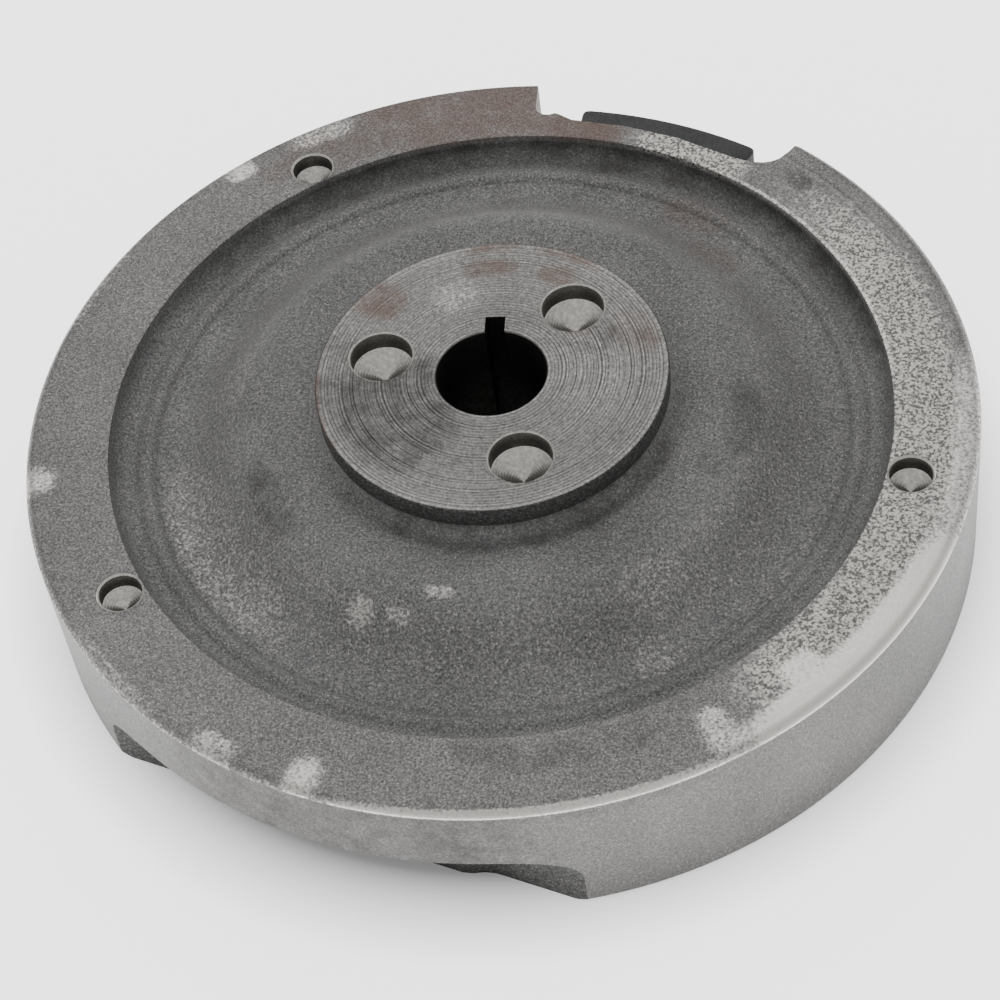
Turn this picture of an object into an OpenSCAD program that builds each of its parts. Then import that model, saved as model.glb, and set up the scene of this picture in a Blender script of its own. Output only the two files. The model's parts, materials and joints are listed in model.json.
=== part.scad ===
// Magneto flywheel of a small single-cylinder engine, fan side up.
// Z is the axis of rotation. Z = 0 is the lower edge of the rim, on the engine side.
// The keyway points along +Y.

/* [Rim] */
// Outside diameter of the rim
rim_d = 230; // [224:1:236]
// Height of the rim from its lower edge to the flat fan-side face
rim_h = 40; // [38:1:44]
// Inside diameter of the flat fan-side face
face_in_d = 189; // [186:1:192]
// Diameter inside the rim on the engine side, at its lower edge
bowl_d = 180; // [174:1:182]
// Chamfer on the rim's outer edges
rim_edge = 1.3; // [0.5:0.1:2]

/* [Web] */
// Height of the raised middle of the web above the rim's lower edge
web_mid_z = 45.5; // [43:0.5:47]
// Height of the outer floor of the web
web_out_z = 33.4; // [32:0.2:35]
// Thickness of the web
web_t = 9; // [7:0.5:11]
// Radius at which the raised middle starts to fall away
slope_in_r = 57; // [54:1:60]
// Radius at which the slope meets the outer floor
slope_out_r = 79; // [76:1:80]
// Fillet between the outer floor and the rim
floor_fillet = 5; // [4:0.5:5.5]

/* [Hub] */
// Diameter of the turned hub face
hub_d = 84.4; // [80:0.2:88]
// Height of the turned hub face above the rim's lower edge
hub_z = 53.7; // [52:0.1:56]
// Diameter of the hub boss on the engine side
boss_d = 68; // [60:1:72]
// Height of the boss face above the rim's lower edge
boss_z = 6; // [3:0.5:10]

/* [Crankshaft bore] */
// Diameter of the parallel land at the fan side
bore_d = 26.5; // [25:0.1:28]
// Length of the parallel land
land_l = 12; // [8:1:16]
// Gain in diameter per millimetre of taper towards the engine
taper = 0.1; // [0.05:0.01:0.2]
// Width of the keyway
key_w = 4.8; // [4:0.1:6]
// Depth of the keyway beyond the wall of the bore
key_t = 4.6; // [3:0.1:6]

/* [Drive holes in the hub] */
// Diameter of each blind drive hole
dog_d = 14.8; // [12:0.1:16]
// Diameter of the circle that the holes lie on
dog_pcd = 55; // [52:0.5:58]
// Depth of the straight wall of each hole
dog_depth = 5; // [3:0.5:8]
// Angle of the first hole from +X
dog_angle = 47.5; // [40:0.5:60]

/* [Fan pin holes in the rim] */
// Diameter of each blind pin hole
pin_d = 10; // [8:0.1:11]
// Radius at which the holes lie
pin_r = 100.3; // [99.6:0.1:103]
// Depth of the straight wall of each hole
pin_depth = 4; // [3:0.5:8]

/* [Magnet slot] */
// Angle of the middle of the slot from +X
slot_angle = 69; // [60:0.5:75]
// Angle that the slot spans
slot_span = 37.2; // [35:0.1:40]
// Radius of the seat at the bottom of the slot
seat_r = 101; // [100:0.1:102]
// Radius of the corners at the bottom of the slot
slot_corner = 3.5; // [2:0.5:4]

/* [Magnet pack] */
// Angle that the holder spans
holder_span = 24.8; // [24:0.1:26]
// Outside radius of the holder
holder_r = 114.6; // [114:0.1:114.8]
// Height of the holder's lower face
holder_z = 9; // [8:0.5:12]
// Height of the holder
holder_h = 22; // [20:0.5:24]
// Thickness of the laminated pole shoes along the axis
shoe_h = 16; // [15.5:0.5:18]
// Height of the magnet along the axis
magnet_h = 14; // [10:0.5:15]
// Outside diameter of the screw thread
screw_d = 5; // [4:0.5:5]

/* [Balance relief] */
// Distance of the flat wall of the relief from the axis
relief_d = 98; // [97:0.5:100]
// Height of the relief from the rim's lower edge
relief_h = 20.5; // [18:0.5:22]
// Fillet between the flat wall and the roof of the relief
relief_fillet = 10; // [6:0.5:12]
// Angle of the middle of the relief from +X
relief_angle = 250; // [245:0.5:255]

/* [Hidden] */
$fn = 96;
iron = [0.46, 0.45, 0.44];
charcoal = [0.17, 0.17, 0.175];
lamination = [0.55, 0.55, 0.54];
ferrite = [0.24, 0.23, 0.24];
zinc = [0.66, 0.66, 0.63];

rim_r = rim_d / 2;
face_r = face_in_d / 2;
bowl_r = bowl_d / 2;
hub_r = hub_d / 2;
boss_r = boss_d / 2;
bore_r = bore_d / 2;
screw_r = screw_d / 2;
pin_angles = [122.1, 212.1, 347.1];
cut = 1;                          // overrun of every cutter past a face
drill_rise = tan(31);             // a drill leaves a 118 degree cone
hub_fillet = 3;                   // where the hub stands on the web
under_fillet = 8;                 // in the corners of the engine-side bowl
draft = 2;                        // draft of the bowl and boss walls
pack_angle = slot_angle + 0.5;    // the pack sits half a degree off the slot's middle
screw_off = 9.2;                  // angle from the pack's middle to each screw
magnet_half = 2.5;                // half of the angle that the magnet spans
shoe_in = 2.5;                    // angles that a pole shoe spans
shoe_out = 6.3;
shoe_bed_r = seat_r + 2.6;
shoe_face_r = holder_r + 0.3;
magnet_face_r = holder_r - 3.6;
pack_mid_z = holder_z + holder_h / 2;
head_r = 4;
head_t = 3.6;
washer_r = 4.2;
washer_t = 1.2;
counterbore_r = 4.6;
counterbore_bed = holder_r - 6;   // radius of the counterbore's floor
thread_l = 8;                     // length of thread in the rim
pad_rise = 2.4;                   // the low pad in the middle of the relief
pad_half = 30;
pad_foot = 37.5;

// Points of an arc about [cx, cz], from angle a0 to a1.
function arc(cx, cz, r, a0, a1, n = 8) =
    [for (i = [0 : n]) [cx + r * cos(a0 + (a1 - a0) * i / n), cz + r * sin(a0 + (a1 - a0) * i / n)]];

// A smooth step from 0 to 1, for the falling part of the web.
function ease(t) = (1 - cos(180 * t)) / 2;

// The falling part of the web from height za at slope_in_r to zb at slope_out_r.
function slope(za, zb, n = 12) =
    [for (i = [0 : n]) [slope_in_r + (slope_out_r - slope_in_r) * i / n, za + (zb - za) * ease(i / n)]];

function reversed(list) = [for (i = [len(list) - 1 : -1 : 0]) list[i]];

// Half section of the casting, from the axis outwards.
module casting_section() {
    under_mid_z = web_mid_z - web_t;
    under_out_z = web_out_z - web_t;
    wall_r = bowl_r - draft;
    polygon(concat(
        [[0, boss_z], [boss_r - 1.5, boss_z], [boss_r, boss_z + 1.5]],
        reversed(arc(boss_r + draft + under_fillet, under_mid_z - under_fillet, under_fillet, 90, 180)),
        slope(under_mid_z, under_out_z),
        reversed(arc(wall_r - under_fillet, under_out_z - under_fillet, under_fillet, 0, 90)),
        [[bowl_r, 1.5], [bowl_r + 1.5, 0]],
        [[rim_r - rim_edge, 0], [rim_r, rim_edge]],
        [[rim_r, rim_h - rim_edge], [rim_r - rim_edge, rim_h]],
        [[face_r + 0.6, rim_h], [face_r, rim_h - 0.6]],
        reversed(arc(face_r - floor_fillet, web_out_z + 0.4 + floor_fillet, floor_fillet, 270, 360)),
        [[face_r - floor_fillet, web_out_z]],
        reversed(slope(web_mid_z, web_out_z)),
        arc(hub_r + hub_fillet, web_mid_z + hub_fillet, hub_fillet, 270, 180),
        [[hub_r, hub_z - 0.5], [hub_r - 0.5, hub_z], [0, hub_z]]));
}

// A blind drilled hole, open upwards at z, with the cone that the drill leaves.
module drilled(r, z, depth) {
    translate([0, 0, z - depth]) cylinder(r = r, h = depth + cut);
    translate([0, 0, z - depth - r * drill_rise]) cylinder(r1 = 0, r2 = r, h = r * drill_rise);
}

// The bore: a parallel land at the fan side, then a taper that widens towards the engine.
module bore_cut() {
    taper_l = hub_z - land_l - boss_z;
    big_r = bore_r + taper * (taper_l + cut) / 2;
    translate([0, 0, hub_z - land_l]) cylinder(r = bore_r, h = land_l + cut);
    translate([0, 0, boss_z - cut]) cylinder(r1 = big_r, r2 = bore_r, h = taper_l + cut);
    translate([0, 0, hub_z - 0.8]) cylinder(r1 = bore_r, r2 = bore_r + 0.8 + cut, h = 0.8 + cut);
    translate([-key_w / 2, 0, boss_z - cut]) cube([key_w, bore_r + key_t, hub_z - boss_z + 2 * cut]);
}

// A sector between two radii, from angle -half to +half about +X.
module sector(r_in, r_out, half) {
    far = r_out / cos(half) + cut;
    intersection() {
        difference() {
            circle(r = r_out, $fn = 180);
            circle(r = r_in, $fn = 180);
        }
        polygon([[0, 0], [far * cos(half), -far * sin(half)], [far, 0], [far * cos(half), far * sin(half)]]);
    }
}

// What is left standing in one bottom corner of the slot, at angle side * slot_span / 2.
module slot_corner_fill(side) {
    mid_r = seat_r + slot_corner;
    mid_angle = side * (slot_span / 2 - asin(slot_corner / mid_r));
    difference() {
        rotate(side * slot_span / 2) translate([seat_r - cut, side > 0 ? -slot_corner : 0])
            square([slot_corner + cut, slot_corner]);
        rotate(mid_angle) translate([mid_r, 0]) circle(r = slot_corner, $fn = 48);
    }
}

// The slot through the rim that the magnet pack sits in.
module slot_cut() {
    rotate(slot_angle) translate([0, 0, -cut]) linear_extrude(rim_h + 2 * cut) difference() {
        sector(seat_r, rim_r + cut, slot_span / 2);
        slot_corner_fill(1);
        slot_corner_fill(-1);
    }
}

// Outline of the balance relief, seen along the axis, with its wall facing +X.
module relief_outline() {
    far = rim_r + cut;
    polygon([[relief_d, -far], [relief_d, -pad_foot], [relief_d + pad_rise, -pad_half],
             [relief_d + pad_rise, pad_half], [relief_d, pad_foot], [relief_d, far], [far, far], [far, -far]]);
}

// The relief cut from the lower half of the outer wall, opposite the magnets.
module relief_cut() {
    far = rim_r + cut;
    rotate(relief_angle) difference() {
        translate([0, 0, -cut]) linear_extrude(relief_h + cut) relief_outline();
        translate([0, far, 0]) rotate([90, 0, 0]) linear_extrude(2 * far) difference() {
            translate([relief_d - cut, relief_h - relief_fillet]) square([relief_fillet + cut, relief_fillet + cut]);
            translate([relief_d + relief_fillet, relief_h - relief_fillet]) circle(r = relief_fillet);
        }
    }
}

// Puts its child on the radial line through one holder screw, with +X outwards.
module on_screw_axis(side) {
    rotate(pack_angle + side * screw_off) translate([0, 0, pack_mid_z]) children();
}

// A cylinder that lies along the radial line, from radius r0 to r1.
module radial(r, r0, r1, sides = 48) {
    translate([r0, 0, 0]) rotate([0, 90, 0]) cylinder(r = r, h = r1 - r0, $fn = sides);
}

module flywheel_casting() {
    color(iron) difference() {
        rotate_extrude($fn = 180) casting_section();
        bore_cut();
        for (k = [0 : 2])
            rotate(dog_angle + 120 * k) translate([dog_pcd / 2, 0, 0]) drilled(dog_d / 2, hub_z, dog_depth);
        for (a = pin_angles)
            rotate(a) translate([pin_r, 0, 0]) drilled(pin_d / 2, rim_h, pin_depth);
        slot_cut();
        relief_cut();
        for (side = [-1, 1])
            on_screw_axis(side) radial(screw_r, seat_r - thread_l - 1, rim_r);
    }
}

// The pocket or body of a pole shoe on one side of the magnet.
module shoe_block(side) {
    shoe_mid = (shoe_in + shoe_out) / 2;
    rotate(pack_angle + side * shoe_mid) translate([0, 0, pack_mid_z - shoe_h / 2])
        linear_extrude(shoe_h) sector(shoe_bed_r, shoe_face_r, (shoe_out - shoe_in) / 2);
}

// The pocket or body of the magnet between the two pole shoes.
module magnet_block(half) {
    rotate(pack_angle) translate([0, 0, pack_mid_z - magnet_h / 2])
        linear_extrude(magnet_h) sector(shoe_bed_r + 0.4, magnet_face_r, half);
}

module magnet_holder() {
    color(charcoal) difference() {
        rotate(pack_angle) translate([0, 0, holder_z])
            linear_extrude(holder_h) sector(seat_r, holder_r, holder_span / 2);
        magnet_block(magnet_half + 1);
        for (side = [-1, 1]) {
            shoe_block(side);
            on_screw_axis(side) radial(screw_r + 0.2, seat_r - cut, rim_r);
            on_screw_axis(side) radial(counterbore_r, counterbore_bed, rim_r + cut);
        }
    }
}

module ignition_magnet() {
    color(ferrite) magnet_block(magnet_half);
}

module pole_shoe_leading() {
    color(lamination) shoe_block(1);
}

module pole_shoe_trailing() {
    color(lamination) shoe_block(-1);
}

// Socket-head screw with its head in the counterbore and its thread in the rim.
module holder_screw(side) {
    head_bed = counterbore_bed + washer_t;
    color(zinc) on_screw_axis(side) difference() {
        union() {
            radial(screw_r, seat_r - thread_l, head_bed);
            radial(head_r, head_bed, head_bed + head_t);
        }
        radial(2.3, head_bed + head_t - 2.2, head_bed + head_t + cut, 6);
    }
}

// Split spring washer under a screw head.
module lock_washer(side) {
    color(zinc) on_screw_axis(side) difference() {
        radial(washer_r, counterbore_bed, counterbore_bed + washer_t);
        radial(screw_r + 0.15, counterbore_bed - cut, counterbore_bed + washer_t + cut);
        translate([counterbore_bed - cut, -0.4, 0]) cube([washer_t + 2 * cut, 0.8, washer_r + cut]);
    }
}

module holder_screw_leading() {
    holder_screw(1);
}

module holder_screw_trailing() {
    holder_screw(-1);
}

module lock_washer_leading() {
    lock_washer(1);
}

module lock_washer_trailing() {
    lock_washer(-1);
}

flywheel_casting();
magnet_holder();
ignition_magnet();
pole_shoe_leading();
pole_shoe_trailing();
holder_screw_leading();
holder_screw_trailing();
lock_washer_leading();
lock_washer_trailing();
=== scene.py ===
# %% [markdown]
# # A magneto flywheel for a small engine
#
# The object is one heavy grey-iron casting with a dark ignition-magnet pack screwed into a slot in
# its rim. The foundry leaves a gritty skin on the web; a lathe then faces the rim, the hub and the
# outside, and years on a shelf add scuffs, a little rust and bright rubbed patches.
#
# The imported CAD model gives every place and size. This script builds the surfaces that the eye
# reads: turned rings, drill cones, a rough cast web, worn edges and the laminated magnet pack.

# %% Load the frame
import json
import math

import bmesh
import bpy
import numpy as np
from mathutils import Matrix, Vector

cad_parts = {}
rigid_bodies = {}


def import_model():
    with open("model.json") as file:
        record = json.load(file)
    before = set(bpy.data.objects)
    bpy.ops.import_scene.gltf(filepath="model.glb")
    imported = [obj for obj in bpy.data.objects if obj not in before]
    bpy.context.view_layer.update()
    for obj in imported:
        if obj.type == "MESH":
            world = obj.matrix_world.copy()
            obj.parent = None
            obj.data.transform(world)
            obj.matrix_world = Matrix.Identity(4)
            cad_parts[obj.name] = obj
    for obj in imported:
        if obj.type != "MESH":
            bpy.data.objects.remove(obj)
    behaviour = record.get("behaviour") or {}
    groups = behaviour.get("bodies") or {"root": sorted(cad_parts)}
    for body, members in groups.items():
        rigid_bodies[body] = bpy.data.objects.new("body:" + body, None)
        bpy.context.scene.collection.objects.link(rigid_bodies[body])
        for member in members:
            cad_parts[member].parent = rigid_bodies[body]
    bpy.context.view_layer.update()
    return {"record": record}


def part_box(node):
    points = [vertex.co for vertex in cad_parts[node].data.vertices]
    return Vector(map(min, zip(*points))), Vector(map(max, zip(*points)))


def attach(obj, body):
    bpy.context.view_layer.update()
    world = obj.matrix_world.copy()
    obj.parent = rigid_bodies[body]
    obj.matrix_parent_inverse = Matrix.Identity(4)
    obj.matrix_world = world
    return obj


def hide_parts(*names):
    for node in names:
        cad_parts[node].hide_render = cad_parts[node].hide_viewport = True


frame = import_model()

MM = 0.001

# %% [markdown]
# ## Camera
#
# The part stands on a table, and the camera looks down on it through a long lens from about two
# thirds of a metre. It is placed by what a person would say: where it aims, from which side, how
# steeply, how far off, and how much it is tilted.

# %% Camera
AIM = Vector((-0.6, -11.7, 20.0)) * MM
SIDE_DEG, DOWN_DEG, TILT_DEG = 10.0, 50.6, -8.85
DISTANCE = 674 * MM
LENS_MM = 99.65

def place_camera():
    side, down = math.radians(SIDE_DEG), math.radians(DOWN_DEG)
    back = Vector((math.sin(side) * math.cos(down), -math.cos(side) * math.cos(down), math.sin(down)))
    lens = bpy.data.cameras.new("product_camera")
    lens.lens = LENS_MM
    lens.sensor_width = 36
    lens.clip_start, lens.clip_end = 0.05, 20
    camera = bpy.data.objects.new("product_camera", lens)
    turn = (-back).to_track_quat("-Z", "Y").to_matrix() @ Matrix.Rotation(math.radians(TILT_DEG), 3, "Z")
    camera.matrix_world = Matrix.Translation(AIM + back * DISTANCE) @ turn.to_4x4()
    bpy.context.scene.collection.objects.link(camera)
    bpy.context.scene.camera = camera
    return camera

camera = place_camera()
print("camera at mm:", [round(v / MM, 1) for v in camera.location])

# %% [markdown]
# ## Small tools
#
# One function adds any node with its settings and links. The next few add the kinds of node that
# come up most, so that the trees below read as sums. One turns a hex colour, which is how people
# name a colour, into the linear values that a shader works in.

# %% Helpers
def add_node(tree, kind, inputs=None, **settings):
    """Adds a node, sets its properties, and fills its inputs with values or with other nodes' outputs."""
    node = tree.nodes.new(kind)
    for name, value in settings.items():
        setattr(node, name, value)
    for key, value in (inputs or {}).items():
        if isinstance(value, bpy.types.NodeSocket):
            tree.links.new(value, node.inputs[key])
        else:
            node.inputs[key].default_value = value
    return node

def maths(tree, operation, *values):
    """An arithmetic node. Its inputs are numbers or outputs, in the node's own order."""
    return add_node(tree, "ShaderNodeMath", dict(enumerate(values)), operation=operation).outputs[0]

def whole_maths(tree, operation, *values):
    """The same for whole numbers, such as rows and counts."""
    return add_node(tree, "FunctionNodeIntegerMath", dict(enumerate(values)),
                    operation=operation).outputs[0]

def scaled(tree, vector, factor):
    return add_node(tree, "ShaderNodeVectorMath", {0: vector, "Scale": factor},
                    operation="SCALE").outputs[0]

def noise(tree, place, size_mm, detail, roughness=0.5):
    """Noise from 0 to 1, in lumps about size_mm across."""
    asked = {"Vector": place, "Scale": 1 / (size_mm * MM), "Detail": detail, "Roughness": roughness}
    return add_node(tree, "ShaderNodeTexNoise", asked).outputs["Fac"]

def spread(tree, value, low, high, to_low=0.0, to_high=1.0, **settings):
    """Stretches the range from low to high onto another range, and stops at its ends."""
    asked = {"Value": value, "From Min": low, "From Max": high, "To Min": to_low, "To Max": to_high}
    return add_node(tree, "ShaderNodeMapRange", asked, **settings).outputs["Result"]

def mixed(tree, factor, a, b, kind="RGBA"):
    """Goes from a to b as the factor rises. The kind is RGBA for colours and FLOAT for numbers."""
    return add_node(tree, "ShaderNodeMix", {"Factor": factor, "A": a, "B": b},
                    data_type=kind).outputs["Result"]

def painted(tree, name):
    """In a material: an attribute that was painted on the mesh."""
    return add_node(tree, "ShaderNodeAttribute", attribute_name=name).outputs["Fac"]

def named(tree, name, kind):
    """In a Geometry Nodes tree: an attribute by its name."""
    return add_node(tree, "GeometryNodeInputNamedAttribute", {"Name": name},
                    data_type=kind).outputs["Attribute"]

def stored(tree, shape, name, value, kind, domain):
    """The shape with a value stored on its points or faces under a name."""
    asked = {"Geometry": shape, "Name": name, "Value": value}
    return add_node(tree, "GeometryNodeStoreNamedAttribute", asked, data_type=kind,
                    domain=domain).outputs[0]

def value_at(tree, shape, value, index, kind):
    """The value that another shape has at one of its points."""
    asked = {"Geometry": shape, "Value": value, "Index": index}
    return add_node(tree, "GeometryNodeSampleIndex", asked, data_type=kind).outputs["Value"]

def shape_of(tree, made):
    return add_node(tree, "GeometryNodeObjectInfo", {"Object": made}).outputs["Geometry"]

def geometry_tree(name, inputs):
    """A Geometry Nodes tree with one shape as its output, and inputs given as (label, kind)."""
    tree = bpy.data.node_groups.new(name, "GeometryNodeTree")
    tree.interface.new_socket("Geometry", in_out="OUTPUT", socket_type="NodeSocketGeometry")
    for label, kind in inputs:
        tree.interface.new_socket(label, in_out="INPUT", socket_type="NodeSocket" + kind)
    return tree, add_node(tree, "NodeGroupInput").outputs

def start_material(name):
    """A material with an empty tree, and the place on the object, which every finish here uses."""
    material = bpy.data.materials.new(name)
    material.use_nodes = True
    tree = material.node_tree
    tree.nodes.clear()
    return material, tree, add_node(tree, "ShaderNodeTexCoord").outputs["Object"]

def end_material(tree, tone, roughness, height, metallic):
    """Closes a material's tree with the surface and its fine relief, whose height is in metres."""
    normal = add_node(tree, "ShaderNodeBump", {"Height": height, "Strength": 1.0,
                                               "Distance": 1.0}).outputs["Normal"]
    asked = {"Base Color": tone, "Roughness": roughness, "Normal": normal, "Metallic": metallic}
    skin = add_node(tree, "ShaderNodeBsdfPrincipled", asked)
    add_node(tree, "ShaderNodeOutputMaterial", {"Surface": skin.outputs["BSDF"]})

def hex_linear(text):
    """A colour such as #8a8986, as the linear RGBA that shaders use."""
    parts = [int(text[i:i + 2], 16) / 255 for i in (1, 3, 5)]
    return tuple(c / 12.92 if c <= 0.04045 else ((c + 0.055) / 1.055) ** 2.4 for c in parts) + (1.0,)

def new_object(name, mesh):
    made = bpy.data.objects.new(name, mesh)
    bpy.context.scene.collection.objects.link(made)
    return made

def use_tree(target, tree, values):
    """Adds a Geometry Nodes modifier and sets its inputs by their identifiers."""
    modifier = target.modifiers.new(tree.name, "NODES")
    modifier.node_group = tree
    for item in tree.interface.items_tree:
        if item.item_type == "SOCKET" and item.in_out == "INPUT" and item.name in values:
            modifier[item.identifier] = values[item.name]
    return modifier

def bake_modifiers(target):
    """Replaces the object's mesh with its evaluated one and drops the modifiers."""
    graph = bpy.context.evaluated_depsgraph_get()
    mesh = bpy.data.meshes.new_from_object(target.evaluated_get(graph), preserve_all_data_layers=True,
                                           depsgraph=graph)
    target.modifiers.clear()
    target.data = mesh
    if len(mesh.materials) > 1 and mesh.materials[0] is None:
        # the tree leaves an empty first material place, which no face uses
        places = np.empty(len(mesh.polygons), np.int32)
        mesh.polygons.foreach_get("material_index", places)
        assert places.min() > 0
        mesh.materials.pop(index=0)
        mesh.polygons.foreach_set("material_index", places - 1)
    return target

# %% [markdown]
# ## Sizes
#
# The frame says how big each part is and where its holes are, so the looks and the CAD can't drift
# apart. The few sizes that it doesn't state, such as the heights inside the web, repeat the
# drawing's values.

# %% Sizes from the frame
mounts = {m["name"]: m for m in frame["record"]["mounts"]}
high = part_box("flywheel_casting")[1] / MM
RIM_R = high.x
HUB_Z = high.z
RIM_Z = mounts["rim_face"]["pos_m"][2] / MM
BORE_R = mounts["crank_bore"]["dims"]["r_mm"]
DOG_R = mounts["drive_holes"]["dims"]["hole_r_mm"]
DOG_CIRCLE_R = mounts["drive_holes"]["dims"]["pcd_mm"] / 2
PIN_R = mounts["fan_pin_a"]["dims"]["r_mm"]
pin_places = [Vector(m["pos_m"]) / MM for n, m in sorted(mounts.items()) if n.startswith("fan_pin")]

FACE_R, BOWL_R, SEAT_R = 94.5, 90.0, 101.0
HUB_R, BOSS_R, BOSS_Z = 42.2, 34.0, 6.0
WEB_MID_Z, WEB_OUT_Z, WEB_T = 45.5, 33.4, 9.0
SLOPE_IN_R, SLOPE_OUT_R = 57.0, 79.0
LAND_Z, TAPER = HUB_Z - 12, 0.1
HUB_FILLET, RIM_FILLET, UNDER_FILLET, DRAFT, BROKEN_EDGE = 3, 5, 8, 2, 1.5
DOG_ANGLE, DOG_DEPTH, PIN_DEPTH = 47.5, 5.0, 4.0
SLOT_ANGLE, SLOT_HALF, SLOT_TIP_R = 69.0, 18.6, 1.6
PACK_ANGLE = 69.5
RELIEF_ANGLE, RELIEF_D, RELIEF_H, RELIEF_FILLET = 250.0, 98.0, 20.5, 10.0
PAD_FOOT, PAD_RAMP, PAD_RISE = 37.5, 7.5, 2.4
KEY_W, KEY_T = 4.8, 4.6
print(f"rim radius {RIM_R:.1f}, rim face at {RIM_Z:.1f}, hub face at {HUB_Z:.1f} mm")

# %% [markdown]
# ## Turning on the lathe
#
# A flywheel is turned, so its shape follows one rule: a half section, spun about the axis. The
# Spin operator or a Screw modifier could do it. Here a Geometry Nodes tree does, because the same
# tree then turns the casting and the drills that cut its holes. It lays out a grid with one
# row for each point of the section and one column for each step of the turn, bends that grid round
# the axis, and welds the seam. Where the section is marked as cast, it also roughens the skin.

# %% Lathe tree
def lathe_tree():
    tree, asked = geometry_tree("lathe", [("Section", "Object"), ("Steps", "Int"), ("Flip", "Bool"),
                                          ("Skin height", "Float"), ("Skin seed", "Float")])
    section = shape_of(tree, asked["Section"])
    count = add_node(tree, "GeometryNodeAttributeDomainSize", {"Geometry": section}).outputs["Point Count"]

    rows = whole_maths(tree, "ADD", count, 1)
    columns = whole_maths(tree, "ADD", asked["Steps"], 1)
    size = {"Vertices X": rows, "Vertices Y": columns}
    grid = add_node(tree, "GeometryNodeMeshGrid", size).outputs["Mesh"]
    index = add_node(tree, "GeometryNodeInputIndex").outputs[0]

    # zone of each face, from the section point where the face starts
    face_row = whole_maths(tree, "DIVIDE_FLOOR", index, asked["Steps"])
    zone_name = named(tree, "zone", "INT")
    face_zone = value_at(tree, section, zone_name, face_row, "INT")
    grid = stored(tree, grid, "zone", face_zone, "INT", "FACE")

    # each grid point takes its radius and height from the section, and its angle from the column
    row = whole_maths(tree, "DIVIDE_FLOOR", index, columns)
    row = whole_maths(tree, "MODULO", row, count)
    column = whole_maths(tree, "MODULO", index, columns)
    place = add_node(tree, "GeometryNodeInputPosition").outputs[0]
    sampled = value_at(tree, section, place, row, "FLOAT_VECTOR")
    parts = add_node(tree, "ShaderNodeSeparateXYZ", {0: sampled}).outputs
    share = maths(tree, "DIVIDE", column, asked["Steps"])
    angle = maths(tree, "MULTIPLY", share, math.tau)
    cosine = maths(tree, "COSINE", angle)
    sine = maths(tree, "SINE", angle)
    x = maths(tree, "MULTIPLY", parts[0], cosine)
    y = maths(tree, "MULTIPLY", parts[0], sine)
    turned = add_node(tree, "ShaderNodeCombineXYZ", {0: x, 1: y, 2: parts[2]}).outputs[0]
    cast_name = named(tree, "cast", "FLOAT")
    cast = value_at(tree, section, cast_name, row, "FLOAT")
    shape = stored(tree, grid, "cast", cast, "FLOAT", "POINT")
    shape = add_node(tree, "GeometryNodeSetPosition", {"Geometry": shape, "Position": turned}).outputs[0]
    shape = add_node(tree, "GeometryNodeMergeByDistance", {"Geometry": shape,
                                                           "Distance": 0.001 * MM}).outputs[0]
    shape = add_node(tree, "GeometryNodeFlipFaces", {"Mesh": shape, "Selection": asked["Flip"]}).outputs[0]

    # the skin that the sand mould leaves: slow waves and a finer grain, along the normal
    total = 0.0
    for wave_mm, share_of_height in ((24.0, 0.6), (5.0, 0.4)):
        asked_noise = {"Vector": place, "W": asked["Skin seed"], "Scale": 1 / (wave_mm * MM), "Detail": 2.0}
        waves = add_node(tree, "ShaderNodeTexNoise", asked_noise, noise_dimensions="4D").outputs["Fac"]
        centred = maths(tree, "SUBTRACT", waves, 0.5)
        total = maths(tree, "MULTIPLY_ADD", centred, 2 * share_of_height, total)
    height = maths(tree, "MULTIPLY", total, asked["Skin height"])
    cast_here = named(tree, "cast", "FLOAT")
    height = maths(tree, "MULTIPLY", height, cast_here)
    normal = add_node(tree, "GeometryNodeInputNormal").outputs[0]
    offset = scaled(tree, normal, height)
    shape = add_node(tree, "GeometryNodeSetPosition", {"Geometry": shape, "Offset": offset}).outputs[0]
    add_node(tree, "NodeGroupOutput", {0: shape})
    return tree

lathe = lathe_tree()

ZONES = ("drilled", "hole_wall", "hub_face", "cast_skin", "as_cast", "rim_face", "outer_wall", "bored")

def section_object(name, runs):
    """A half section as a closed chain. A run is (zone, cast, points), a point (radius, height) in mm."""
    points, zones, casts = [], [], []
    for zone, cast, run in runs:
        for radius, height in run:
            points.append((radius * MM, 0.0, height * MM))
            zones.append(ZONES.index(zone))
            casts.append(cast)
    mesh = bpy.data.meshes.new(name)
    mesh.from_pydata(points, [(i, (i + 1) % len(points)) for i in range(len(points))], [])
    mesh.attributes.new("zone", "INT", "POINT").data.foreach_set("value", zones)
    mesh.attributes.new("cast", "FLOAT", "POINT").data.foreach_set("value", casts)
    made = new_object(name, mesh)
    made.hide_render = True
    area = sum(p[0] * q[2] - q[0] * p[2] for p, q in zip(points, points[1:] + points[:1]))
    return made, area > 0

def arc(centre_r, centre_z, radius, start, end, steps):
    """Points of an arc, angles in degrees, both ends included."""
    turns = [math.radians(start + (end - start) * i / steps) for i in range(steps + 1)]
    return [(centre_r + radius * math.cos(t), centre_z + radius * math.sin(t)) for t in turns]

def line(start, end, step):
    """Points from start up to, and without, end, about one step apart."""
    count = max(1, round(math.dist(start, end) / step))
    return [(start[0] + (end[0] - start[0]) * i / count,
             start[1] + (end[1] - start[1]) * i / count) for i in range(count)]

print("lathe tree has", len(lathe.nodes), "nodes")

# %% [markdown]
# ## The casting's half section
#
# The section runs up the bore, out over the hub, down to the web, out to the rim, and back along
# the engine side. The engine side is left as cast, and the fan side of the web is too. Bore, hub
# face, rim face and outside are turned. The grooves in the hub face are real geometry. They have
# the feed of a coarse facing cut, about 0.85 mm a turn, and are lopsided as a tool leaves them.

# %% Casting section
GROOVE_PITCH, GROOVE_DEPTH = 0.85, 0.12

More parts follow.
